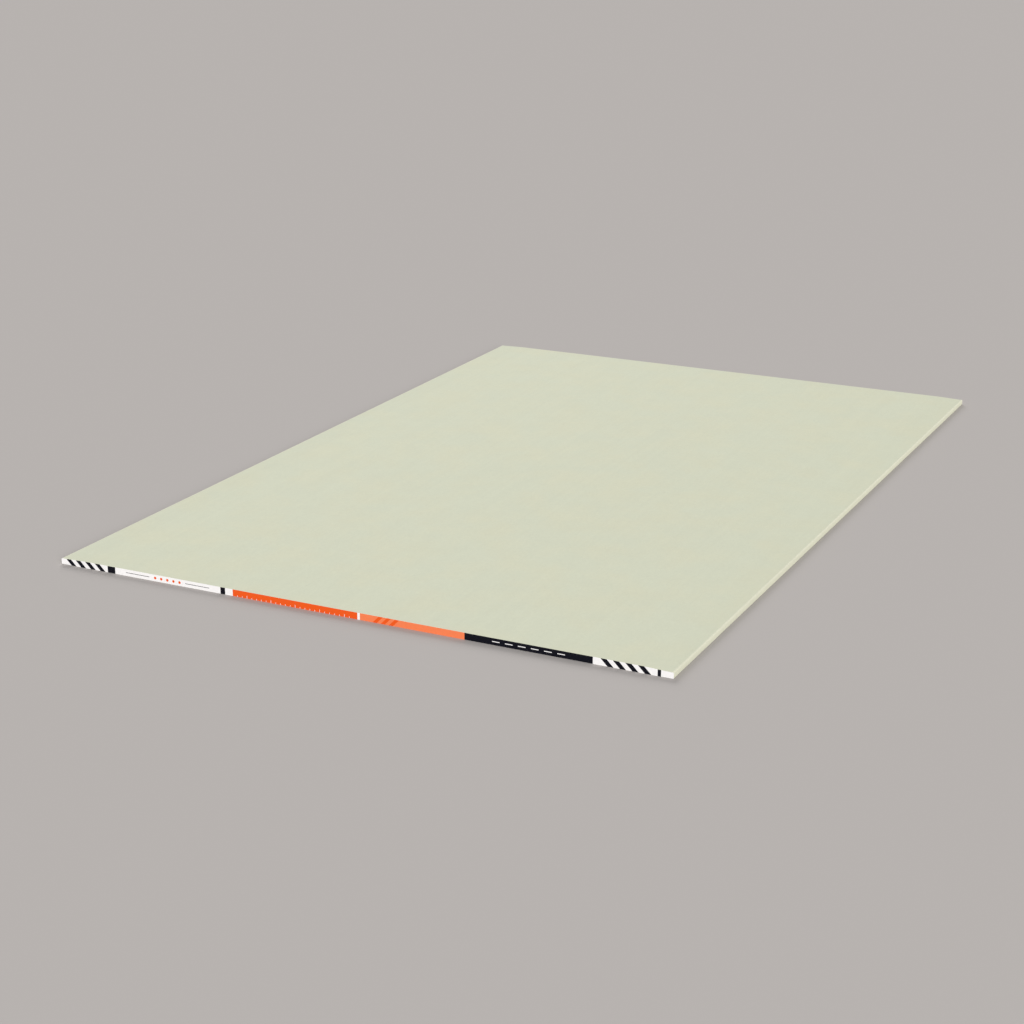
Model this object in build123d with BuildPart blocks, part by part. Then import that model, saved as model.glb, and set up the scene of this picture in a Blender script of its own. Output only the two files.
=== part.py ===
from build123d import *

import os
from math import atan2, tan

# One sheet of tapered-edge gypsum board, lying flat on its back with its face up.
# X runs across the sheet, Y along its length and Z up through its thickness.
# The origin is on the back, in the middle of the sheet. The taped end is the -Y one.

# The sheet, in millimetres: one of the sizes that board is sold in
sheet_width = 1220
sheet_length = 1830
sheet_thickness = 12.5

# The long edges: the face is pressed down beside them, to take joint compound
taper_width = 55
taper_depth = 1.5
edge_land_width = 9

# The paper is folded round the long edges, softly at the face and tightly at the back
face_fold_radius = 2
back_fold_radius = 0.8

# The printed paper strip that is glued over one cut end
tape_thickness = 0.2

# What follows from the sizes above
half_width = sheet_width / 2
half_length = sheet_length / 2
edge_height = sheet_thickness - taper_depth
taper_shoulder = half_width - taper_width
taper_foot = half_width - edge_land_width
taper_run = taper_width - edge_land_width

# The slope runs into the face and into the edge's land by arcs of this tangent length
taper_blend = edge_land_width / 3
taper_angle = atan2(taper_depth, taper_run)
taper_blend_radius = taper_blend / tan(taper_angle / 2)

# The outline that the whole sheet keeps from end to end
with BuildSketch(Plane.XZ) as section:
    with BuildLine():
        Polyline(
            (-half_width, 0),
            (half_width, 0),
            (half_width, edge_height),
            (taper_foot, edge_height),
            (taper_shoulder, sheet_thickness),
            (-taper_shoulder, sheet_thickness),
            (-taper_foot, edge_height),
            (-half_width, edge_height),
            close=True,
        )
    make_face()
    back_corners = section.vertices().group_by(Axis.Y)[0]
    edge_corners = section.vertices().group_by(Axis.Y)[1].sort_by(Axis.X)
    shoulders = section.vertices().group_by(Axis.Y)[-1]
    fillet(back_corners, radius=back_fold_radius)
    fillet([edge_corners[0], edge_corners[-1]], radius=face_fold_radius)
    fillet(edge_corners[1:-1] + shoulders, radius=taper_blend_radius)

# The board: a foamed gypsum core and its two papers, which set together as one slab
with BuildPart() as gypsum_board:
    extrude(section.sketch, amount=half_length, both=True)

# The end tape: trimmed flush with the board all round
with BuildPart() as end_tape:
    with BuildSketch(Plane.XZ.offset(half_length)):
        add(section.sketch_local)
    extrude(amount=tape_thickness)

gypsum_board.part.label = "gypsum_board"
end_tape.part.label = "end_tape"

os.makedirs("parts", exist_ok=True)
export_step(gypsum_board.part, "parts/gypsum_board.step")
export_step(end_tape.part, "parts/end_tape.step")
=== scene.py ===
import math
import bpy
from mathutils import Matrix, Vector


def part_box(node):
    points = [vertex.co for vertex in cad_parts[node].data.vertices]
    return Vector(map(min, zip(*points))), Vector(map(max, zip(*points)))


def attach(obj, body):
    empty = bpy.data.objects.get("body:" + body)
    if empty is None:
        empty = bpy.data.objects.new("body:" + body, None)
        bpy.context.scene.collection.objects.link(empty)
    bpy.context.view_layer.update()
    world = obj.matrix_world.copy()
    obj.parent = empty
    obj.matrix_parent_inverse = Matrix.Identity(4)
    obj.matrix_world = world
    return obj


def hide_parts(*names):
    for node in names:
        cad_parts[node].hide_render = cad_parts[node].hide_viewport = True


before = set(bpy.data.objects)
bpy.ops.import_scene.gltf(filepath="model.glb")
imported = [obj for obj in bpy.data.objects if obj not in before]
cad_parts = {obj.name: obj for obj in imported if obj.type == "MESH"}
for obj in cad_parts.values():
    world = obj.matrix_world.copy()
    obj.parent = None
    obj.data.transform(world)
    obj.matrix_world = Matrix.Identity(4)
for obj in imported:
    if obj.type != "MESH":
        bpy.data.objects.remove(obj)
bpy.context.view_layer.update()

boardLow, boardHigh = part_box("gypsum_board")
tapeLow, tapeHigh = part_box("end_tape")
halfWidth = boardHigh.x
thickness = boardHigh.z


# Colours as they are read off a screen, from 0 to 255, turned into linear light
def colour(red, green, blue):
    shares = [value / 255 for value in (red, green, blue)]
    linear = [s / 12.92 if s <= 0.04045 else ((s + 0.055) / 1.055) ** 2.4 for s in shares]
    return (*linear, 1.0)


def addObject(name, data):
    made = bpy.data.objects.new(name, data)
    bpy.context.scene.collection.objects.link(made)
    return made


# Small helpers for node trees of any kind

def feed(tree, socket, value):
    if isinstance(value, bpy.types.NodeSocket):
        tree.links.new(value, socket)
    else:
        socket.default_value = value


# Inputs go by the name or the place of their socket. Settings are the node's own
def addNode(tree, kind, inputs, **settings):
    made = tree.nodes.new(kind)
    for title, value in settings.items():
        setattr(made, title, value)
    for title, value in inputs.items():
        feed(tree, made.inputs[title], value)
    return made


def calc(tree, operation, *values):
    return addNode(tree, "ShaderNodeMath", dict(enumerate(values)), operation=operation).outputs[0]


def minus(tree, value, taken):
    return calc(tree, "SUBTRACT", value, taken)


def product(tree, first, *others):
    for other in others:
        first = calc(tree, "MULTIPLY", first, other)
    return first


def vectorCalc(tree, operation, *values):
    made = addNode(tree, "ShaderNodeVectorMath", dict(enumerate(values)), operation=operation)
    return made.outputs[0]


def combine(tree, x, y, z):
    return addNode(tree, "ShaderNodeCombineXYZ", {"X": x, "Y": y, "Z": z}).outputs[0]


def separate(tree, vector):
    return addNode(tree, "ShaderNodeSeparateXYZ", {0: vector}).outputs


# The result stays between toLow and toHigh
def rescale(tree, value, fromLow, fromHigh, toLow=0.0, toHigh=1.0, smooth=False):
    inputs = dict(enumerate((value, fromLow, fromHigh, toLow, toHigh)))
    curve = "SMOOTHSTEP" if smooth else "LINEAR"
    return addNode(tree, "ShaderNodeMapRange", inputs, interpolation_type=curve).outputs["Result"]


def noiseAt(tree, vector, scale, detail=2.0, roughness=0.5, distortion=0.0, seed=None, output=0):
    inputs = {"Vector": vector, "Scale": scale, "Detail": detail, "Roughness": roughness,
              "Distortion": distortion}
    settings = {}
    if seed is not None:
        inputs["W"] = seed
        settings["noise_dimensions"] = "4D"
    return addNode(tree, "ShaderNodeTexNoise", inputs, **settings).outputs[output]


# Shifts places a little to and fro, so that what is drawn there isn't quite regular
def wobbled(tree, vector, scale, amount):
    shift = noiseAt(tree, vector, scale, output="Color")
    shift = vectorCalc(tree, "SUBTRACT", shift, (0.5, 0.5, 0.5))
    return vectorCalc(tree, "MULTIPLY_ADD", shift, (amount, amount, amount), vector)


poreSkew = 1.6              # over 1, small pores are the commoner ones
leastRadius = 0.001         # keeps a cell without a pore from dividing by zero


# Round pores, at most one in each cell of the pattern. Gives how deep each place is: 0 outside, and 1 in
# the middle of the largest. The others are shallower in step with their radius
def poreField(tree, vector, cell, emptyShare, largest):
    kind, inputs = "ShaderNodeTexVoronoi", {"Vector": vector, "Scale": 1 / cell}
    cells = addNode(tree, kind, inputs, voronoi_dimensions="2D").outputs
    room = addNode(tree, kind, inputs, voronoi_dimensions="2D", feature="N_SPHERE_RADIUS").outputs
    chance = separate(tree, cells["Color"])[0]
    size = calc(tree, "POWER", rescale(tree, chance, emptyShare, 1.0), poreSkew)
    radius = calc(tree, "MINIMUM", product(tree, size, largest), room["Radius"])
    out = calc(tree, "DIVIDE", cells["Distance"], calc(tree, "MAXIMUM", radius, leastRadius))
    bowl = calc(tree, "MAXIMUM", minus(tree, 1.0, product(tree, out, out)), 0.0)
    return product(tree, bowl, calc(tree, "DIVIDE", radius, largest))


def newTree(name, kind, inputs, outputs):
    tree = bpy.data.node_groups.new(name, kind)
    for title, socketType, value in inputs:
        made = tree.interface.new_socket(title, in_out="INPUT", socket_type=socketType)
        if value is not None:
            made.default_value = value
    for title, socketType in outputs:
        tree.interface.new_socket(title, in_out="OUTPUT", socket_type=socketType)
    given = tree.nodes.new("NodeGroupInput")
    result = tree.nodes.new("NodeGroupOutput")
    return tree, given.outputs, result.inputs


def useGroup(tree, group, inputs):
    return addNode(tree, tree.bl_idname.replace("Tree", "Group"), inputs, node_tree=group).outputs


# The section of the sheet, in metres
section = {
    "taperWidth": 0.055,
    "taperDepth": 0.0015,
    "taperBlend": 0.003,    # how far either side of its ends the slope is rounded
    "edgeLand": 0.009,
    "faceFold": 0.002,
    "backFold": 0.0008,
    "lapWidth": 0.020,      # face paper that shows on the back, beside each long edge
    "lapStep": 0.0003,      # how far the back paper stands proud of it
    "paper": 0.0004,        # thickness of the paper at a cut end
    "foldSteps": 10,
    "blendSteps": 2,        # on either side of an end of the slope
}


# A ramp that starts at zero by a soft bend
def softRamp(distance):
    blend = section["taperBlend"]
    if abs(distance) < blend:
        return (distance + blend) ** 2 / (4 * blend)
    return max(0, distance)


# How far a fold of this radius has turned away from the surface beside it
def foldDrop(fromEdge, radius):
    if fromEdge >= radius:
        return 0
    return radius - math.sqrt(max(0, radius ** 2 - (radius - fromEdge) ** 2))


# Height of the face over the floor, at a distance x from the middle
def faceHeight(x):
    fromEdge = halfWidth - abs(x)
    foot, shoulder = section["edgeLand"], section["taperWidth"]
    slope = section["taperDepth"] / (shoulder - foot)
    rise = slope * (softRamp(fromEdge - foot) - softRamp(fromEdge - shoulder))
    return thickness - section["taperDepth"] + rise - foldDrop(fromEdge, section["faceFold"])


# Height of the back over the floor: the strip beside each long edge lies a step higher
def backHeight(x):
    fromEdge = halfWidth - abs(x)
    lift = section["lapStep"] if fromEdge < section["lapWidth"] else 0
    return lift + foldDrop(fromEdge, section["backFold"])


# Distances from the middle at which the section has points, from the left edge to the right one
def stations(spacing):
    fold, blend, lap = section["faceFold"], section["taperBlend"], halfWidth - section["lapWidth"]
    steps, bends = section["foldSteps"], section["blendSteps"]
    marks = {halfWidth - fold + fold * math.sin(math.pi / 2 * k / steps) for k in range(steps + 1)}
    for knee in (section["edgeLand"], section["taperWidth"]):
        marks |= {halfWidth - knee + blend * k / bends for k in range(-bends, bends + 1)}
    marks |= {lap - section["lapStep"], lap}
    count = math.ceil((halfWidth - fold) / spacing)
    even = {(halfWidth - fold) * k / count for k in range(count + 1)}
    apart = spacing / 4
    marks |= {x for x in even if all(abs(x - mark) > apart for mark in marks)}
    right = sorted(marks)
    return [-x for x in reversed(right) if x > 0] + right


# The outline as a flat mesh: along the back from left to right, then along the face from right to left.
# Each point also holds its place on the inside of the paper, and whether back paper follows it
def sectionObject(name, spacing):
    across = stations(spacing)
    outline = [(x, backHeight(x)) for x in across]
    outline += [(x, faceHeight(x)) for x in reversed(across)]
    count, paper = len(outline), section["paper"]
    mesh = bpy.data.meshes.new(name)
    edges = [(k, (k + 1) % count) for k in range(count)]
    mesh.from_pydata([(x, z, 0) for x, z in outline], edges, [])
    mesh.attributes.new("inner", "FLOAT_VECTOR", "POINT")
    mesh.attributes.new("paperZone", "INT", "POINT")
    inner, zone = mesh.attributes["inner"], mesh.attributes["paperZone"]
    for k, (x, z) in enumerate(outline):
        before, after = outline[k - 1], outline[(k + 1) % count]
        run, rise = after[0] - before[0], after[1] - before[1]
        size = math.hypot(run, rise)
        inner.data[k].vector = (x - rise / size * paper, z + run / size * paper, 0)
        onBack = k < len(across) and abs((x + after[0]) / 2) < halfWidth - section["lapWidth"]
        zone.data[k].value = 1 if onBack else 0
    return addObject(name, mesh)


# Helpers for Geometry Nodes

def sample(tree, geometry, field, index, kind="FLOAT_VECTOR"):
    inputs = {"Geometry": geometry, "Value": field, "Index": index}
    return addNode(tree, "GeometryNodeSampleIndex", inputs, data_type=kind).outputs["Value"]


def attribute(tree, name, kind):
    made = addNode(tree, "GeometryNodeInputNamedAttribute", {"Name": name}, data_type=kind)
    return made.outputs["Attribute"]


def keep(tree, geometry, name, value, kind="FLOAT", domain="POINT"):
    inputs = {"Geometry": geometry, "Name": name, "Value": value}
    made = addNode(tree, "GeometryNodeStoreNamedAttribute", inputs, data_type=kind, domain=domain)
    return made.outputs["Geometry"]


# What a field gives at the middle of each face, the same for all corners of the face
def onFaces(tree, field, kind="FLOAT"):
    made = addNode(tree, "GeometryNodeFieldOnDomain", {"Value": field}, data_type=kind, domain="FACE")
    return made.outputs["Value"]


def switch(tree, kind, test, no, yes):
    inputs = {"Switch": test, "False": no, "True": yes}
    return addNode(tree, "GeometryNodeSwitch", inputs, input_type=kind).outputs["Output"]


def positionHere(tree):
    return tree.nodes.new("GeometryNodeInputPosition").outputs[0]


def place(tree, geometry, position=None, offset=None, selection=None):
    moves = {"Position": position, "Offset": offset, "Selection": selection}
    inputs = {title: value for title, value in moves.items() if value is not None}
    return addNode(tree, "GeometryNodeSetPosition", {"Geometry": geometry, **inputs}).outputs["Geometry"]


def paint(tree, geometry, material, selection=True):
    inputs = {"Geometry": geometry, "Material": material, "Selection": selection}
    return addNode(tree, "GeometryNodeSetMaterial", inputs).outputs["Geometry"]


def flip(tree, geometry):
    return addNode(tree, "GeometryNodeFlipFaces", {"Mesh": geometry}).outputs["Mesh"]


mergeDistance = 2e-6        # points of two parts that are nearer than this become one
sharpAngle = 0.7            # folds and relief are smooth, and edges over this many radians are sharp


def joinAndMerge(tree, *parts):
    joined = tree.nodes.new("GeometryNodeJoinGeometry")
    for part in parts:
        tree.links.new(part, joined.inputs[0])
    inputs = {"Geometry": joined.outputs[0], "Distance": mergeDistance}
    return addNode(tree, "GeometryNodeMergeByDistance", inputs).outputs["Geometry"]


def finishTree(tree, geometry, result):
    real = addNode(tree, "GeometryNodeRealizeInstances", {0: geometry})
    smooth = addNode(tree, "GeometryNodeSetShadeSmooth", {"Geometry": real.outputs[0]})
    angle = tree.nodes.new("GeometryNodeInputMeshEdgeAngle").outputs["Unsigned Angle"]
    edges = calc(tree, "GREATER_THAN", angle, sharpAngle)
    inputs = {"Geometry": smooth.outputs[0], "Selection": edges, "Shade Smooth": False}
    sharp = addNode(tree, "GeometryNodeSetShadeSmooth", inputs, domain="EDGE")
    tree.links.new(sharp.outputs[0], result)


# A grid of points: the column and row of each point, or of each face where rows counts its faces
def gridPlaces(tree, rows):
    index = tree.nodes.new("GeometryNodeInputIndex").outputs[0]
    column = calc(tree, "FLOOR", calc(tree, "DIVIDE", calc(tree, "ADD", index, 0.5), rows))
    return column, minus(tree, index, product(tree, column, rows))


def newGrid(tree, columns, rows):
    inputs = {"Vertices X": columns, "Vertices Y": rows}
    return addNode(tree, "GeometryNodeMeshGrid", inputs).outputs["Mesh"]


def pointCount(tree, geometry):
    return addNode(tree, "GeometryNodeAttributeDomainSize", {0: geometry}).outputs["Point Count"]


# Fills the section with quads, between its back and its face. It looks towards -Y, or +Y if turned
def buildEndFace():
    tree, given, result = newTree("endFace", "GeometryNodeTree", [
        ("Section", "NodeSocketGeometry", None),
        ("Inset", "NodeSocketBool", False),
        ("Up", "NodeSocketInt", 2),
        ("Along", "NodeSocketFloat", 0.0),
        ("Turned", "NodeSocketBool", False),
    ], [("Mesh", "NodeSocketGeometry"), ("Share", "NodeSocketFloat")])
    points = pointCount(tree, given["Section"])
    grid = newGrid(tree, calc(tree, "DIVIDE", points, 2), given["Up"])
    column, row = gridPlaces(tree, given["Up"])
    inner = attribute(tree, "inner", "FLOAT_VECTOR")
    outline = switch(tree, "VECTOR", given["Inset"], positionHere(tree), inner)
    opposite = minus(tree, minus(tree, points, 1), column)
    back = sample(tree, given["Section"], outline, column)
    face = sample(tree, given["Section"], outline, opposite)
    share = calc(tree, "DIVIDE", row, minus(tree, given["Up"], 1))
    upwards = {0: vectorCalc(tree, "SUBTRACT", face, back), "Scale": share}
    upwards = addNode(tree, "ShaderNodeVectorMath", upwards, operation="SCALE").outputs[0]
    flat = separate(tree, vectorCalc(tree, "ADD", back, upwards))
    standing = place(tree, grid, position=combine(tree, flat[0], given["Along"], flat[1]))
    mesh = switch(tree, "GEOMETRY", given["Turned"], standing, flip(tree, standing))
    feed(tree, result["Mesh"], mesh)
    feed(tree, result["Share"], share)
    return tree


# The papered board: the section swept along Y, with thin paper lips round its far cut end
def buildSweep(endFace):
    tree, given, result = newTree("sweepSheet", "GeometryNodeTree", [
        ("Section", "NodeSocketGeometry", None),
        ("Start", "NodeSocketFloat", -1.0),
        ("End", "NodeSocketFloat", 1.0),
        ("Rings", "NodeSocketInt", 40),
        ("Lip Depth", "NodeSocketFloat", 0.001),
        ("Cockle Height", "NodeSocketFloat", 0.0001),
        ("Cockle Size", "NodeSocketFloat", 0.2),
        ("Cockle Fade", "NodeSocketFloat", 0.04),
        ("Seed", "NodeSocketFloat", 1.0),
        ("Face Paper", "NodeSocketMaterial", None),
        ("Back Paper", "NodeSocketMaterial", None),
        ("Cut Paper", "NodeSocketMaterial", None),
    ], [("Mesh", "NodeSocketGeometry")])
    shape = given["Section"]
    points = pointCount(tree, shape)
    # After the last ring come one on the inside of the paper and one at the floor of the lip
    rows = calc(tree, "ADD", given["Rings"], 2)
    lastRing = minus(tree, given["Rings"], 1)
    grid = newGrid(tree, calc(tree, "ADD", points, 1), rows)
    column, row = gridPlaces(tree, rows)
    position = positionHere(tree)
    at = calc(tree, "MODULO", column, points)
    outer = sample(tree, shape, position, at)
    inner = sample(tree, shape, attribute(tree, "inner", "FLOAT_VECTOR"), at)
    onLip = calc(tree, "GREATER_THAN", row, calc(tree, "ADD", lastRing, 0.5))
    sunk = calc(tree, "GREATER_THAN", row, calc(tree, "ADD", lastRing, 1.5))
    flat = separate(tree, switch(tree, "VECTOR", onLip, outer, inner))
    share = calc(tree, "DIVIDE", calc(tree, "MINIMUM", row, lastRing), lastRing)
    span = minus(tree, given["End"], given["Start"])
    along = calc(tree, "MULTIPLY_ADD", share, span, given["Start"])
    along = minus(tree, along, product(tree, sunk, given["Lip Depth"]))
    shell = flip(tree, place(tree, grid, position=combine(tree, flat[0], along, flat[1])))

    faceColumn, faceRow = gridPlaces(tree, minus(tree, rows, 1))
    zone = sample(tree, shape, attribute(tree, "paperZone", "INT"), faceColumn, "INT")
    cut = calc(tree, "GREATER_THAN", faceRow, minus(tree, lastRing, 0.5))
    shell = paint(tree, shell, given["Face Paper"])
    shell = paint(tree, shell, given["Back Paper"], calc(tree, "GREATER_THAN", zone, 0.5))
    parts = [paint(tree, shell, given["Cut Paper"], cut)]

    floorOfLip = minus(tree, given["End"], given["Lip Depth"])
    for far, capPlace in ((False, given["Start"]), (True, floorOfLip)):
        cap = {"Section": shape, "Inset": far, "Up": 2, "Along": capPlace, "Turned": far}
        parts.append(paint(tree, useGroup(tree, endFace, cap)["Mesh"], given["Cut Paper"]))
    body = joinAndMerge(tree, *parts)

    # A slight cockle of the face. It only sinks, and fades out towards both ends
    scale = calc(tree, "DIVIDE", 1.0, given["Cockle Size"])
    cockle = noiseAt(tree, position, scale, seed=given["Seed"])
    here = separate(tree, position)
    fromStart = minus(tree, here[1], given["Start"])
    toEnd = calc(tree, "MINIMUM", fromStart, minus(tree, given["End"], here[1]))
    fade = rescale(tree, toEnd, 0.0, given["Cockle Fade"])
    high = calc(tree, "GREATER_THAN", here[2], thickness / 2)
    sink = product(tree, cockle, fade, high, given["Cockle Height"], -1.0)
    finishTree(tree, place(tree, body, offset=combine(tree, 0.0, 0.0, sink)), result["Mesh"])
    return tree


# The pores that show on the cut core, the same in its mesh and in its material
pores = {
    "cell": 0.0022,
    "emptyShare": 0.25,
    "largest": 0.46,        # radius, as a share of a cell
    "wobble": 0.0006,
    "wobbleScale": 900.0,
    "denseShare": 0.09,     # share of the height, beside each paper, that has none
}


# Share of the height between a place and the nearer paper
def fromPaper(tree, up):
    return calc(tree, "MINIMUM", up, minus(tree, 1.0, up))


def corePores(tree, flat, up):
    porous = rescale(tree, fromPaper(tree, up), pores["denseShare"] / 2, pores["denseShare"])
    uneven = wobbled(tree, flat, pores["wobbleScale"], pores["wobble"])
    found = poreField(tree, uneven, pores["cell"], pores["emptyShare"], pores["largest"])
    return product(tree, found, porous)


# How an end is laid out in its own map, for a baked picture of it. An end is too long and thin to fill one,
# so its front is folded into rows. Its rim lies in the gutters round them, and its hidden side below them
endMap = {
    "name": "OFBake",       # the name of the piece's own map
    "rows": 9,
    "gutter": 0.008,        # a share of the picture, as is the strip
    "hiddenStrip": 0.06,
}


def foldedMap(tree, geometry, front, rim, up, frontPlace, span):
    rows, gutter, strip = endMap["rows"], endMap["gutter"], endMap["hiddenStrip"]
    rowWidth, rowHeight = 1 - 2 * gutter, (1 - strip) / rows
    here = separate(tree, positionHere(tree))
    facing = calc(tree, "SIGN", span)
    fromLeft = minus(tree, halfWidth, product(tree, here[0], facing))
    along = calc(tree, "DIVIDE", fromLeft, 2 * halfWidth)
    turns = product(tree, along, rows)
    row = calc(tree, "MAXIMUM", calc(tree, "FLOOR", onFaces(tree, turns)), 0.0)
    row = calc(tree, "MINIMUM", row, rows - 1)
    u = calc(tree, "MULTIPLY_ADD", minus(tree, turns, row), rowWidth, gutter)
    v = calc(tree, "MULTIPLY_ADD", row, rowHeight, strip + gutter)
    v = calc(tree, "MULTIPLY_ADD", up, rowHeight - 2 * gutter, v)

    depth = calc(tree, "DIVIDE", minus(tree, frontPlace, here[1]), span)
    push = product(tree, depth, rim, gutter / 2)
    normal = tree.nodes.new("GeometryNodeInputNormal").outputs[0]
    outwards = separate(tree, onFaces(tree, normal, "FLOAT_VECTOR"))
    u = calc(tree, "MULTIPLY_ADD", product(tree, outwards[0], facing, -1.0), push, u)
    v = calc(tree, "MULTIPLY_ADD", outwards[2], push, v)

    hiddenU = calc(tree, "MULTIPLY_ADD", along, rowWidth, gutter)
    hiddenV = calc(tree, "MULTIPLY_ADD", up, strip - 2 * gutter, gutter)
    hidden, shown = combine(tree, hiddenU, hiddenV, 0.0), combine(tree, u, v, 0.0)
    places = switch(tree, "VECTOR", calc(tree, "ADD", front, rim), hidden, shown)
    return keep(tree, geometry, endMap["name"], places, "FLOAT2", "CORNER")


# A closed slab that covers an end: the tape, or the cut core. Its front is slightly uneven
def buildSlab(endFace):
    tree, given, result = newTree("endSlab", "GeometryNodeTree", [
        ("Section", "NodeSocketGeometry", None),
        ("Inset", "NodeSocketBool", False),
        ("Up", "NodeSocketInt", 5),
        ("Front", "NodeSocketFloat", 0.0),
        ("Back", "NodeSocketFloat", 0.0),
        ("Relief Depth", "NodeSocketFloat", 0.0001),
        ("Relief Size", "NodeSocketFloat", 0.01),
        ("Calm Rim", "NodeSocketFloat", 0.125),
        ("Pore Depth", "NodeSocketFloat", 0.0),
        ("Seed", "NodeSocketFloat", 1.0),
        ("Material", "NodeSocketMaterial", None),
    ], [("Mesh", "NodeSocketGeometry")])
    span = minus(tree, given["Front"], given["Back"])
    made = useGroup(tree, endFace, {
        "Section": given["Section"], "Inset": given["Inset"], "Up": given["Up"], "Along": given["Back"],
        "Turned": calc(tree, "GREATER_THAN", span, 0.0),
    })
    base = keep(tree, made["Mesh"], "up", made["Share"])
    pushed = addNode(tree, "GeometryNodeExtrudeMesh", {
        "Mesh": base, "Offset": combine(tree, 0.0, span, 0.0), "Offset Scale": 1.0, "Individual": False,
    }).outputs
    front, rim = pushed["Top"], pushed["Side"]

    here = separate(tree, positionHere(tree))
    flat = combine(tree, here[0], here[2], 0.0)
    up = attribute(tree, "up", "FLOAT")
    scale = calc(tree, "DIVIDE", 1.0, given["Relief Size"])
    relief = noiseAt(tree, flat, scale, detail=3.0, seed=given["Seed"])
    inside = rescale(tree, fromPaper(tree, up), 0.0, given["Calm Rim"])
    wavy = product(tree, relief, inside, given["Relief Depth"])
    pitted = product(tree, corePores(tree, flat, up), given["Pore Depth"])
    sink = product(tree, calc(tree, "ADD", wavy, pitted), calc(tree, "SIGN", span), -1.0)
    uneven = place(tree, pushed["Mesh"], offset=combine(tree, 0.0, sink, 0.0), selection=front)
    closed = joinAndMerge(tree, uneven, flip(tree, base))
    mapped = foldedMap(tree, closed, front, rim, up, given["Front"], span)
    finishTree(tree, paint(tree, mapped, given["Material"]), result["Mesh"])
    return tree


# Runs a tree on a section and keeps the result as a plain mesh
def runTree(name, tree, source, values):
    modifier = source.modifiers.new("make", "NODES")
    modifier.node_group = tree
    ids = {item.name: item.identifier for item in tree.interface.items_tree if item.in_out == "INPUT"}
    for title, value in values.items():
        modifier[ids[title]] = value
    bpy.context.view_layer.update()
    graph = bpy.context.evaluated_depsgraph_get()
    mesh = bpy.data.meshes.new_from_object(source.evaluated_get(graph), depsgraph=graph)
    mesh.name = name
    source.modifiers.remove(modifier)
    return addObject(name, mesh)


# Helpers for materials

def newMaterial(name, specular, roughness=1.0):
    material = bpy.data.materials.new(name)
    material.use_nodes = True
    shader = material.node_tree.nodes["Principled BSDF"]
    shader.inputs["Specular IOR Level"].default_value = specular
    shader.inputs["Roughness"].default_value = roughness
    return material, material.node_tree, shader


def objectPlace(tree):
    return tree.nodes.new("ShaderNodeTexCoord").outputs["Object"]


def mixColour(tree, share, first, second, blend="MIX"):
    made = addNode(tree, "ShaderNodeMix", {"Factor": share}, data_type="RGBA", blend_type=blend)
    colours = [socket for socket in made.inputs if socket.type == "RGBA"]
    feed(tree, colours[0], first)
    feed(tree, colours[1], second)
    return next(socket for socket in made.outputs if socket.type == "RGBA")


# The noises in the dicts of looks are given by their scale per metre, their detail and their roughness

# Two tones of one stuff, in soft patches
def patches(tree, vector, look):
    share = rescale(tree, noiseAt(tree, vector, *look["patchNoise"]), *look["patchRange"])
    return mixColour(tree, share, *look["tones"])


# Multiplies a colour by a level, and makes it the material's own
def setColour(tree, shader, base, level):
    grey = combine(tree, level, level, level)
    feed(tree, shader.inputs["Base Color"], mixColour(tree, 1.0, base, grey, "MULTIPLY"))


# Raises a level where a noise is over its middle, and lowers it where it is under
def vary(tree, level, noise, amount):
    return calc(tree, "MULTIPLY_ADD", minus(tree, noise, 0.5), amount, level)


def dim(tree, level, mask, amount):
    return minus(tree, level, product(tree, mask, amount))


def bump(tree, shader, height, distance):
    made = addNode(tree, "ShaderNodeBump", {"Distance": distance, "Height": height})
    feed(tree, shader.inputs["Normal"], made.outputs[0])


# How far a place lies towards the middle from a line beside the long edges
def insideOf(tree, line, x):
    return minus(tree, line, calc(tree, "ABSOLUTE", x))


# 1 on a line at this place and 0 a soft width away
def lineAt(tree, value, middle, softWidth):
    away = calc(tree, "ABSOLUTE", minus(tree, value, middle))
    return rescale(tree, away, 0.0, softWidth, 1.0, 0.0, True)


# The noise of each layer of a paper's grain: its scale per metre, how far that is cut along the machine,
# its detail, roughness and distortion. Each paper has its own scale of fibres
grainLayers = {
    "Clouds": (22.0, 1.0, 3.0, 0.6, 0.0),
    "Mottle": (150.0, 0.6, 2.0, 0.55, 0.0),
    "Fibres": (None, 0.35, 3.0, 0.7, 1.4),
    "Streaks": (90.0, 0.02, 3.0, 0.55, 0.0),
}

hairPattern = {
    # where in the noises each layer of hairs gets its bends and its breaks
    "shifts": (((3.1, 7.7, 1.3), (5.9, 2.3, 4.7)), ((9.4, 1.9, 8.2), (2.6, 6.4, 0.8))),
    "distortion": 0.2,
    "breakLevel": 0.75,
    "breakFade": 0.03,
    "tintShift": (8.3, 0.7, 6.1),
    "tintNoise": (90.0, 1.0),
    "tintRange": (0.45, 0.55),
}


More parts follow.
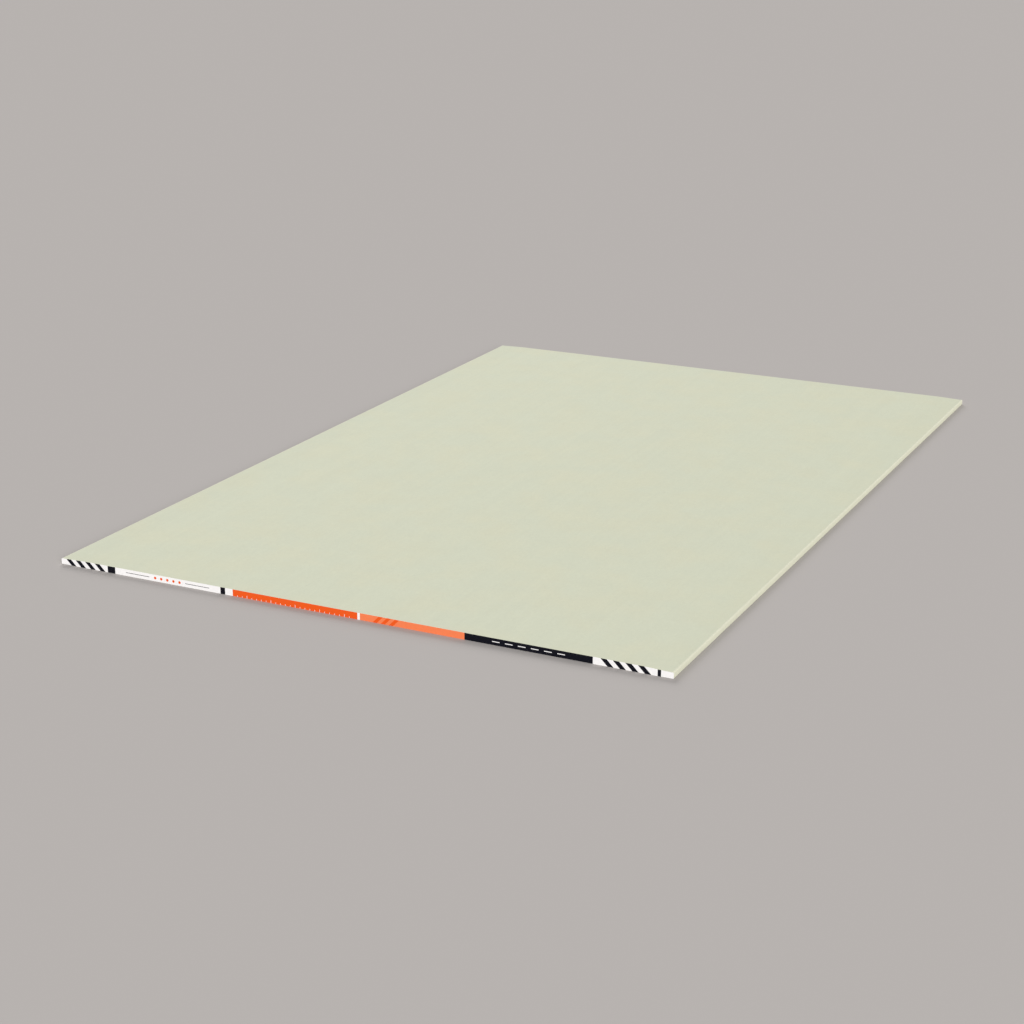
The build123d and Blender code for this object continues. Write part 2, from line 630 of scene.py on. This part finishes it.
# What the papers share: soft clouds, the pulp's own mottle, matted fibres, streaks along the machine
# and stray hairs. Level multiplies a paper's colour. Tint picks each hair's own colour
def buildPaperGrain():
    tree, given, result = newTree("paperGrain", "ShaderNodeTree", [
        ("Vector", "NodeSocketVector", None),
        ("Clouds", "NodeSocketFloat", 0.03),
        ("Mottle", "NodeSocketFloat", 0.04),
        ("Fibres", "NodeSocketFloat", 0.05),
        ("Streaks", "NodeSocketFloat", 0.03),
        ("Fibre Scale", "NodeSocketFloat", 420.0),
        ("Hair Bends", "NodeSocketFloat", 170.0),
        ("Hair Breaks", "NodeSocketFloat", 420.0),
        ("Hair Width", "NodeSocketFloat", 0.00006),
        ("Hair Share", "NodeSocketFloat", 0.1),
    ], [
        ("Level", "NodeSocketFloat"),
        ("Fibres", "NodeSocketFloat"),
        ("Hairs", "NodeSocketFloat"),
        ("Tint", "NodeSocketFloat"),
    ])
    vector = given["Vector"]
    level, layers = 1.0, {}
    for title, (scale, length, *texture) in grainLayers.items():
        drawnOut = vectorCalc(tree, "MULTIPLY", vector, (1.0, length, 1.0))
        layers[title] = noiseAt(tree, drawnOut, scale or given["Fibre Scale"], *texture)
        level = vary(tree, level, layers[title], given[title])
    feed(tree, result["Level"], level)
    feed(tree, result["Fibres"], layers["Fibres"])

    # Hairs lie along the middle contour of a noise, which a second noise breaks into short lengths
    thin = product(tree, given["Hair Width"], given["Hair Bends"])
    least = minus(tree, hairPattern["breakLevel"], given["Hair Share"])
    most = calc(tree, "ADD", least, hairPattern["breakFade"])
    hairs = 0.0
    for bendShift, breakShift in hairPattern["shifts"]:
        bendPlace = vectorCalc(tree, "ADD", vector, bendShift)
        winding = noiseAt(tree, bendPlace, given["Hair Bends"], 0.0, distortion=hairPattern["distortion"])
        away = calc(tree, "ABSOLUTE", minus(tree, winding, 0.5))
        thread = rescale(tree, away, 0.0, thin, 1.0, 0.0)
        breakPlace = vectorCalc(tree, "ADD", vector, breakShift)
        kept = rescale(tree, noiseAt(tree, breakPlace, given["Hair Breaks"], 0.0), least, most)
        hairs = calc(tree, "MAXIMUM", hairs, product(tree, thread, kept))
    feed(tree, result["Hairs"], hairs)
    tintPlace = vectorCalc(tree, "ADD", vector, hairPattern["tintShift"])
    feed(tree, result["Tint"], noiseAt(tree, tintPlace, *hairPattern["tintNoise"]))
    return tree


def withHairs(tree, base, grain, look):
    warmth = rescale(tree, grain["Tint"], *hairPattern["tintRange"])
    tint = mixColour(tree, warmth, look["warmHair"], look["coolHair"])
    return mixColour(tree, product(tree, grain["Hairs"], look["hairStrength"]), base, tint)


# A paper's roughness goes from the first of its own two to the second over this range of its fibres
fibreRange = (0.2, 0.8)


def roughFibres(tree, shader, grain, look):
    feed(tree, shader.inputs["Roughness"], rescale(tree, grain["Fibres"], *fibreRange, *look["roughness"]))


# The ivory paper of the face, which is folded round the long edges and onto the back
facePaper = {
    "tones": (colour(205, 208, 186), colour(207, 208, 184)),
    "patchNoise": (9.0, 3.0, 0.6),
    "patchRange": (0.4, 0.65),
    # the fold and side of each long edge, painted lighter than the face: painted light
    "folded": colour(220, 220, 198),
    "warmHair": colour(158, 142, 108),
    "coolHair": colour(146, 158, 150),
    "hairStrength": 0.28,
    "grain": {"Clouds": 0.05, "Mottle": 0.06, "Fibres": 0.14, "Streaks": 0.045, "Hair Share": 0.11},
    "taperTone": 0.008,     # how much darker the pressed strip is painted, as painted shade on its slope
    "taperFade": (0.004, 0.001),    # how far outside and inside the top of the slope that ends
    "beltTone": 0.016,      # the line that the edge belt leaves at the top of the slope
    "beltWidth": 0.0012,
    "creaseTone": 0.06,     # painted shade in the score lines beside both folds of each long edge
    "creaseBump": 0.8,
    "creaseInset": 0.0025,  # where one runs on the face, from the long edge
    "creaseWidth": 0.0005,
    "backCreaseHeight": 0.0017,
    "backCreaseWidth": 0.0006,
    # painted shade in the wrinkles across the fold
    "wrinkleTone": 0.02,
    "wrinkleBump": 0.2,
    "wrinkleNoise": (480.0, 2.0, 0.6),
    "wrinkleLength": 0.15,  # the scale across a long edge, as a share of the one along it
    "wrinkleRange": (0.5, 0.75),
    "fibreBump": 0.6,
    "bump": 0.00012,
    "roughness": (0.76, 0.92),
    "specular": 0.15,
}


def facePaperMaterial():
    look = facePaper
    material, tree, shader = newMaterial("facePaper", look["specular"])
    vector = objectPlace(tree)
    grain = useGroup(tree, paperGrain, {"Vector": vector, **look["grain"]})
    here = separate(tree, vector)
    toEdge = insideOf(tree, halfWidth, here[0])
    onTop = calc(tree, "GREATER_THAN", here[2], thickness / 2)
    onSide = calc(tree, "LESS_THAN", toEdge, section["backFold"])
    onFold = rescale(tree, toEdge, section["faceFold"], 2 * section["faceFold"], 1.0, 0.0, True)
    # The fold and side of each long edge get a lighter tone of the same paper: painted light
    base = mixColour(tree, onFold, patches(tree, vector, look), look["folded"])
    base = withHairs(tree, base, grain, look)

    shoulder, (outside, inside) = section["taperWidth"], look["taperFade"]
    taperShade = rescale(tree, toEdge, shoulder - outside, shoulder + inside, 1.0, 0.0, True)
    belt = product(tree, lineAt(tree, toEdge, shoulder, look["beltWidth"]), onTop)
    scored = product(tree, lineAt(tree, toEdge, look["creaseInset"], look["creaseWidth"]), onTop)
    backLine = lineAt(tree, here[2], look["backCreaseHeight"], look["backCreaseWidth"])
    crease = calc(tree, "MAXIMUM", scored, product(tree, backLine, onSide))
    acrossFold = vectorCalc(tree, "MULTIPLY", vector, (look["wrinkleLength"], 1.0, look["wrinkleLength"]))
    wrinkles = noiseAt(tree, acrossFold, *look["wrinkleNoise"])
    wrinkles = product(tree, rescale(tree, wrinkles, *look["wrinkleRange"]), onFold)
    # The pressed strip of each taper is painted a little darker: painted shade on its slope
    level = dim(tree, grain["Level"], taperShade, look["taperTone"])
    level = dim(tree, level, belt, look["beltTone"])
    height = product(tree, grain["Fibres"], look["fibreBump"])
    # Score lines and wrinkles are painted darker, as painted shade in their hollows, and sunk by the bump
    for mask, name in ((crease, "crease"), (wrinkles, "wrinkle")):
        level = dim(tree, level, mask, look[name + "Tone"])
        height = dim(tree, height, mask, look[name + "Bump"])
    setColour(tree, shader, base, level)
    roughFibres(tree, shader, grain, look)
    bump(tree, shader, height, look["bump"])
    return material


# The grey recycled paper of the back
backPaper = {
    "tones": (colour(166, 160, 146), colour(184, 179, 166)),
    "patchNoise": (7.0, 4.0, 0.6),
    "patchRange": (0.35, 0.65),
    "warmHair": colour(104, 86, 64),
    "coolHair": colour(76, 84, 102),
    "hairStrength": 0.5,
    "grain": {"Clouds": 0.10, "Mottle": 0.14, "Fibres": 0.24, "Streaks": 0.08, "Fibre Scale": 330.0,
              "Hair Width": 0.00008, "Hair Share": 0.16},
    "edgeTone": 0.14,       # its ragged border along each lap
    "edgeBump": 0.4,
    "edgeWidth": 0.0002,
    "raggedWidth": 0.0012,
    "raggedNoise": (260.0, 2.0, 0.5),
    "gluedTone": 0.03,      # the strip that is stuck down over the lap
    "gluedStrip": 0.012,
    "gluedFade": 0.001,
    "bump": 0.00016,
    "roughness": (0.84, 0.96),
    "specular": 0.25,
}


def backPaperMaterial():
    look = backPaper
    material, tree, shader = newMaterial("backPaper", look["specular"])
    vector = objectPlace(tree)
    grain = useGroup(tree, paperGrain, {"Vector": vector, **look["grain"]})
    base = withHairs(tree, patches(tree, vector, look), grain, look)
    toLap = insideOf(tree, halfWidth - section["lapWidth"], separate(tree, vector)[0])
    ragged = product(tree, noiseAt(tree, vector, *look["raggedNoise"]), look["raggedWidth"])
    edge = rescale(tree, toLap, 0.0, calc(tree, "ADD", ragged, look["edgeWidth"]), 1.0, 0.0)
    unglued = look["gluedStrip"] - look["gluedFade"]
    glued = rescale(tree, toLap, unglued, look["gluedStrip"], 1.0, 0.0, True)
    level = dim(tree, grain["Level"], edge, look["edgeTone"])
    setColour(tree, shader, base, dim(tree, level, glued, look["gluedTone"]))
    roughFibres(tree, shader, grain, look)
    bump(tree, shader, dim(tree, grain["Fibres"], edge, look["edgeBump"]), look["bump"])
    return material


# The cut edges of both papers, with the ends of their fibres
cutPaper = {
    "face": colour(222, 219, 199),
    "back": colour(176, 170, 155),
    "fuzzTone": 0.16,
    "fuzzNoise": (1400.0, 3.0, 0.7),
    "bump": 0.00012,
    "roughness": 0.92,
    "specular": 0.2,
}


def cutPaperMaterial():
    look = cutPaper
    material, tree, shader = newMaterial("cutPaper", look["specular"], look["roughness"])
    vector = objectPlace(tree)
    here = separate(tree, vector)
    low = calc(tree, "LESS_THAN", here[2], thickness / 4)
    pastLap = calc(tree, "GREATER_THAN", insideOf(tree, halfWidth, here[0]), section["lapWidth"])
    base = mixColour(tree, product(tree, low, pastLap), look["face"], look["back"])
    fuzz = noiseAt(tree, vector, *look["fuzzNoise"])
    setColour(tree, shader, base, vary(tree, 1.0, fuzz, look["fuzzTone"]))
    bump(tree, shader, fuzz, look["bump"])
    return material


# The cut core: foamed gypsum, with pores, the marks of the saw, crumbs and denser layers at the papers
gypsumCore = {
    "tones": (colour(238, 235, 227), colour(231, 226, 213)),
    "patchNoise": (60.0, 3.0, 0.6),
    "patchRange": (0.4, 0.65),
    "dense": colour(246, 244, 239),
    # painted shade in the pores, deepest in the largest
    "poreTone": 0.2,
    "poreBump": 2.4,
    "finePores": {"cell": 0.0009, "emptyShare": 0.4, "largest": 0.4},
    # painted shade in the fine pores
    "finePoreTone": 0.16,
    "finePoreBump": 0.9,
    "sawTone": 0.05,
    "sawBump": 0.4,
    "sawNoise": (700.0, 2.0, 0.6),
    "sawLength": 0.08,      # the scale up the end, as a share of the one across it
    "gritTone": 0.07,
    "gritBump": 0.5,
    "gritNoise": (1500.0, 3.0, 0.75),
    "bump": 0.0003,
    "roughness": 0.95,
    "specular": 0.2,
}


def gypsumCoreMaterial():
    look = gypsumCore
    material, tree, shader = newMaterial("gypsumCore", look["specular"], look["roughness"])
    here = separate(tree, objectPlace(tree))
    flat = combine(tree, here[0], here[2], 0.0)
    up = addNode(tree, "ShaderNodeAttribute", {}, attribute_name="up").outputs["Fac"]
    dense = rescale(tree, fromPaper(tree, up), 0.0, pores["denseShare"], 1.0, 0.0, True)
    base = mixColour(tree, dense, patches(tree, flat, look), look["dense"])
    sawPlace = vectorCalc(tree, "MULTIPLY", flat, (1.0, look["sawLength"], 1.0))
    saw = noiseAt(tree, sawPlace, *look["sawNoise"])
    grit = noiseAt(tree, flat, *look["gritNoise"])
    level = vary(tree, vary(tree, 1.0, saw, look["sawTone"]), grit, look["gritTone"])
    sawHeight, gritHeight = product(tree, saw, look["sawBump"]), product(tree, grit, look["gritBump"])
    height = calc(tree, "ADD", sawHeight, gritHeight)
    fine = poreField(tree, flat, **look["finePores"])
    # Pores are painted darker, as painted shade in their hollows, and sunk by the bump
    for mask, name in ((corePores(tree, flat, up), "pore"), (fine, "finePore")):
        level = dim(tree, level, mask, look[name + "Tone"])
        height = dim(tree, height, mask, look[name + "Bump"])
    setColour(tree, shader, base, level)
    bump(tree, shader, height, look["bump"])
    return material


# A row of printed bars: one wide bar is a field of colour
def buildBarRow():
    tree, given, result = newTree("barRow", "ShaderNodeTree", [
        ("Along", "NodeSocketFloat", 0.0),
        ("Up", "NodeSocketFloat", 0.0),
        ("Start", "NodeSocketFloat", 0.0),
        ("Bar", "NodeSocketFloat", 0.01),
        ("Pitch", "NodeSocketFloat", 1.0),
        ("Count", "NodeSocketFloat", 1.0),
        ("Low", "NodeSocketFloat", -1.0),
        ("High", "NodeSocketFloat", 1.0),
        ("Lean", "NodeSocketFloat", 0.0),
    ], [("Mask", "NodeSocketFloat")])
    leaned = calc(tree, "MULTIPLY_ADD", given["Up"], given["Lean"], given["Along"])
    turns = calc(tree, "DIVIDE", minus(tree, leaned, given["Start"]), given["Pitch"])
    inked = calc(tree, "DIVIDE", given["Bar"], given["Pitch"])
    mask = calc(tree, "LESS_THAN", calc(tree, "FRACT", turns), inked)
    for test, value, limit in (
        ("GREATER_THAN", turns, 0.0),
        ("LESS_THAN", turns, given["Count"]),
        ("GREATER_THAN", given["Up"], given["Low"]),
        ("LESS_THAN", given["Up"], given["High"]),
    ):
        mask = product(tree, mask, calc(tree, test, value, limit))
    feed(tree, result["Mask"], mask)
    return tree


# A row of printed dots
def buildDotRow():
    tree, given, result = newTree("dotRow", "ShaderNodeTree", [
        ("Along", "NodeSocketFloat", 0.0),
        ("Up", "NodeSocketFloat", 0.0),
        ("Start", "NodeSocketFloat", 0.0),
        ("Pitch", "NodeSocketFloat", 0.01),
        ("Count", "NodeSocketFloat", 1.0),
        ("Middle", "NodeSocketFloat", 0.0),
        ("Radius", "NodeSocketFloat", 0.002),
    ], [("Mask", "NodeSocketFloat")])
    turns = calc(tree, "DIVIDE", minus(tree, given["Along"], given["Start"]), given["Pitch"])
    across = product(tree, minus(tree, calc(tree, "FRACT", turns), 0.5), given["Pitch"])
    above = minus(tree, given["Up"], given["Middle"])
    squares = calc(tree, "ADD", product(tree, across, across), product(tree, above, above))
    mask = calc(tree, "LESS_THAN", calc(tree, "SQRT", squares), given["Radius"])
    for test, limit in (("GREATER_THAN", 0.0), ("LESS_THAN", given["Count"])):
        mask = product(tree, mask, calc(tree, test, turns, limit))
    feed(tree, result["Mask"], mask)
    return tree


white = colour(252, 250, 249)
navy = colour(14, 15, 25)
orange = colour(243, 94, 31)
paleOrange = colour(251, 134, 86)

# The print, in metres from the left end of the tape and up from its foot, laid on in this order
tape = {
    "bars": [
        (navy, {"Start": 0.0225, "Bar": 0.011, "Pitch": 0.022, "Count": 4.0, "Lean": 1.0}),
        (navy, {"Start": 0.105, "Bar": 0.017}),
        (navy, {"Start": 0.146, "Bar": 0.052, "Low": 0.0058, "High": 0.0068}),
        (navy, {"Start": 0.276, "Bar": 0.052, "Low": 0.0058, "High": 0.0068}),
        (navy, {"Start": 0.352, "Bar": 0.010}),
        (orange, {"Start": 0.378, "Bar": 0.256}),
        (white, {"Start": 0.3876, "Bar": 0.0008, "Pitch": 0.010, "Count": 24.0, "High": 0.0028}),
        (white, {"Start": 0.4076, "Bar": 0.0008, "Pitch": 0.050, "Count": 5.0, "High": 0.0052}),
        (paleOrange, {"Start": 0.639, "Bar": 0.203}),
        (orange, {"Start": 0.664, "Bar": 0.008, "Pitch": 0.016, "Count": 3.0, "Lean": -1.0}),
        (navy, {"Start": 0.842, "Bar": 0.236}),
        (white, {"Start": 0.894, "Bar": 0.014, "Pitch": 0.024, "Count": 6.0, "Low": 0.0056,
                 "High": 0.0070}),
        (navy, {"Start": 1.104, "Bar": 0.011, "Pitch": 0.022, "Count": 4.0, "Lean": 1.0}),
        (navy, {"Start": 1.192, "Bar": 0.006}),
    ],
    "dots": [(orange, {"Start": 0.204, "Pitch": 0.0133, "Count": 5.0, "Middle": 0.0063, "Radius": 0.0026})],
    "inkWander": 0.0002,    # how far its borders stray
    "wanderNoise": (700.0, 2.0, 0.5),
    "inkClouds": 0.05,
    "cloudNoise": (140.0, 3.0, 0.6),
    "pinholes": 0.08,
    "cutEdge": colour(226, 221, 211),
    "bareDepth": 0.00004,   # of the edge, next to the board, that has no ink
    "grain": {"Clouds": 0.02, "Mottle": 0.04, "Fibres": 0.07, "Streaks": 0.0, "Fibre Scale": 900.0,
              "Hair Bends": 300.0, "Hair Breaks": 800.0, "Hair Width": 0.00004, "Hair Share": 0.1},
    "bump": 0.0001,
    "fibreBump": 0.25,
    "coreNoise": (380.0, 3.0, 0.6),     # the core's own unevenness, which shows through the thin tape
    "roughness": 0.62,
    "inkSheen": 0.12,
    "fibreRoughness": 0.1,
    "specular": 0.12,
}


def tapeMaterial():
    look = tape
    material, tree, shader = newMaterial("endPrint", look["specular"])
    vector = objectPlace(tree)
    grain = useGroup(tree, paperGrain, {"Vector": vector, **look["grain"]})
    x, y, z = separate(tree, vector)
    wander = noiseAt(tree, vector, *look["wanderNoise"])
    along = vary(tree, calc(tree, "ADD", x, halfWidth), wander, look["inkWander"])
    inked, cover = white, 0.0
    rows = [(barRow, ink, values) for ink, values in look["bars"]]
    rows += [(dotRow, ink, values) for ink, values in look["dots"]]
    for group, ink, values in rows:
        mask = useGroup(tree, group, {"Along": along, "Up": z, **values})["Mask"]
        inked = mixColour(tree, mask, inked, ink)
        cover = calc(tree, "MAXIMUM", cover, mask)
    inked = mixColour(tree, product(tree, grain["Hairs"], look["pinholes"]), inked, white)
    onPrint = calc(tree, "LESS_THAN", y, tapeHigh.y - look["bareDepth"])
    inked = mixColour(tree, onPrint, look["cutEdge"], inked)
    clouds = minus(tree, noiseAt(tree, vector, *look["cloudNoise"]), 0.5)
    level = calc(tree, "MULTIPLY_ADD", product(tree, clouds, cover), look["inkClouds"], grain["Level"])
    setColour(tree, shader, inked, level)
    rough = calc(tree, "MULTIPLY_ADD", cover, -look["inkSheen"], look["roughness"])
    feed(tree, shader.inputs["Roughness"], vary(tree, rough, grain["Fibres"], look["fibreRoughness"]))
    core = noiseAt(tree, vector, *look["coreNoise"])
    height = calc(tree, "ADD", core, product(tree, grain["Fibres"], look["fibreBump"]))
    bump(tree, shader, height, look["bump"])
    return material


print("trees and materials")
endFace = buildEndFace()
sweep = buildSweep(endFace)
slab = buildSlab(endFace)
paperGrain = buildPaperGrain()
barRow = buildBarRow()
dotRow = buildDotRow()
paperOnFace = facePaperMaterial()
paperOnBack = backPaperMaterial()
paperCut = cutPaperMaterial()
gypsum = gypsumCoreMaterial()
printed = tapeMaterial()

board = {
    "sectionSpacing": 0.016,
    "rings": 112,
    "lipDepth": 0.0012,
    "cockleHeight": 0.00014,
    "cockleSize": 0.25,
    "cockleFade": 0.04,
    "seed": 3.0,
}
coarse = sectionObject("coarseSection", board["sectionSpacing"])
sheet = runTree("papered_board", sweep, coarse, {
    "Start": boardLow.y, "End": boardHigh.y, "Rings": board["rings"], "Lip Depth": board["lipDepth"],
    "Cockle Height": board["cockleHeight"], "Cockle Size": board["cockleSize"],
    "Cockle Fade": board["cockleFade"], "Seed": board["seed"],
    "Face Paper": paperOnFace, "Back Paper": paperOnBack, "Cut Paper": paperCut,
})
bpy.data.objects.remove(coarse)
print("board:", len(sheet.data.polygons), "faces")

ends = {
    "spacing": 0.0007,      # of the points across the sheet
    "calmRim": 0.125,       # share of the height over which the relief grows in from the rim
    "coreUp": 18,           # points from the back to the face
    "coreSetBack": 0.00005,
    "coreRelief": 0.0004,
    "coreReliefSize": 0.007,
    "poreDepth": 0.0006,
    "coreSeed": 5.0,
    "tapeUp": 6,
    "tapeRelief": 0.0001,
    "tapeReliefSize": 0.02,
    "tapeSeed": 7.0,
}
fine = sectionObject("fineSection", ends["spacing"])
core = runTree("cut_core", slab, fine, {
    "Inset": True, "Up": ends["coreUp"], "Front": boardHigh.y - ends["coreSetBack"],
    "Back": boardHigh.y - board["lipDepth"], "Relief Depth": ends["coreRelief"],
    "Relief Size": ends["coreReliefSize"], "Calm Rim": ends["calmRim"], "Pore Depth": ends["poreDepth"],
    "Seed": ends["coreSeed"], "Material": gypsum,
})
strip = runTree("printed_tape", slab, fine, {
    "Inset": False, "Up": ends["tapeUp"], "Front": tapeLow.y, "Back": tapeHigh.y,
    "Relief Depth": ends["tapeRelief"], "Relief Size": ends["tapeReliefSize"],
    "Calm Rim": ends["calmRim"], "Pore Depth": 0.0, "Seed": ends["tapeSeed"], "Material": printed,
})
bpy.data.objects.remove(fine)
print("ends:", len(core.data.polygons), "and", len(strip.data.polygons), "faces")

for piece, node, slotName in (
    (sheet, "gypsum_board", "face_paper"),
    (core, "gypsum_board", "face_paper"),
    (strip, "end_tape", "end_print"),
):
    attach(piece, "root")
    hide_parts(node)

# Floor, light and camera
backdrop = {
    "tone": colour(183, 178, 175),
    "size": 60.0,
    "ambient": 0.45,
    # azimuth, elevation, strength and width in degrees of each large soft lamp
    "lamps": {"key": (45, 20, 2.6, 30), "rim": (215, 24, 2.1, 30)},
}


def makeFloor():
    half = backdrop["size"] / 2
    corners = [(-half, -half, 0), (half, -half, 0), (half, half, 0), (-half, half, 0)]
    mesh = bpy.data.meshes.new("floor")
    mesh.from_pydata(corners, [], [(0, 1, 2, 3)])
    floor = addObject("floor", mesh)
    material, tree, shader = newMaterial("floorPaint", 0.0)
    feed(tree, shader.inputs["Base Color"], backdrop["tone"])
    floor.data.materials.append(material)


# The camera sees the floor's own tone all round, while the sheet is lit by white
def makeWorld():
    world = bpy.data.worlds.new("studio")
    bpy.context.scene.world = world
    world.use_nodes = True
    tree = world.node_tree
    tree.nodes.clear()
    light = {"Color": (1, 1, 1, 1), "Strength": backdrop["ambient"]}
    around = addNode(tree, "ShaderNodeBackground", light)
    seen = addNode(tree, "ShaderNodeBackground", {"Color": backdrop["tone"]})
    path = tree.nodes.new("ShaderNodeLightPath").outputs
    rays = calc(tree, "MAXIMUM", path["Is Camera Ray"], path["Is Glossy Ray"])
    rays = calc(tree, "MAXIMUM", rays, path["Is Transmission Ray"])
    mix = addNode(tree, "ShaderNodeMixShader", {0: rays, 1: around.outputs[0], 2: seen.outputs[0]})
    addNode(tree, "ShaderNodeOutputWorld", {0: mix.outputs[0]})


def bearing(azimuth, elevation):
    a, e = math.radians(azimuth), math.radians(elevation)
    return Vector((math.sin(a) * math.cos(e), -math.cos(a) * math.cos(e), math.sin(e)))


def makeLamp(name, azimuth, elevation, strength, angle):
    lamp = bpy.data.lights.new(name, "SUN")
    lamp.energy = strength
    lamp.angle = math.radians(angle)
    made = addObject(name, lamp)
    made.rotation_euler = bearing(azimuth, elevation).to_track_quat("Z", "Y").to_euler()


# Angles are in degrees, places in metres, and lens and sensor in millimetres
shot = {
    "azimuth": 24.6,
    "elevation": 17.5,
    "distance": 4.267,
    "aim": Vector((0.006, -0.276, 0.0)),
    "lens": 70.9,
    "sensorWidth": 36.0,
    "clipEnd": 200.0,
}


def makeCamera():
    data = bpy.data.cameras.new("camera")
    data.sensor_width = shot["sensorWidth"]
    data.lens = shot["lens"]
    data.clip_end = shot["clipEnd"]
    made = addObject("camera", data)
    made.location = bearing(shot["azimuth"], shot["elevation"]) * shot["distance"]
    made.rotation_euler = (made.location - shot["aim"]).to_track_quat("Z", "Y").to_euler()
    bpy.context.scene.camera = made


makeFloor()
makeWorld()
for name, lamp in backdrop["lamps"].items():
    makeLamp(name, *lamp)
makeCamera()
bpy.context.scene.view_settings.view_transform = "Standard"
print("stage, light and camera")
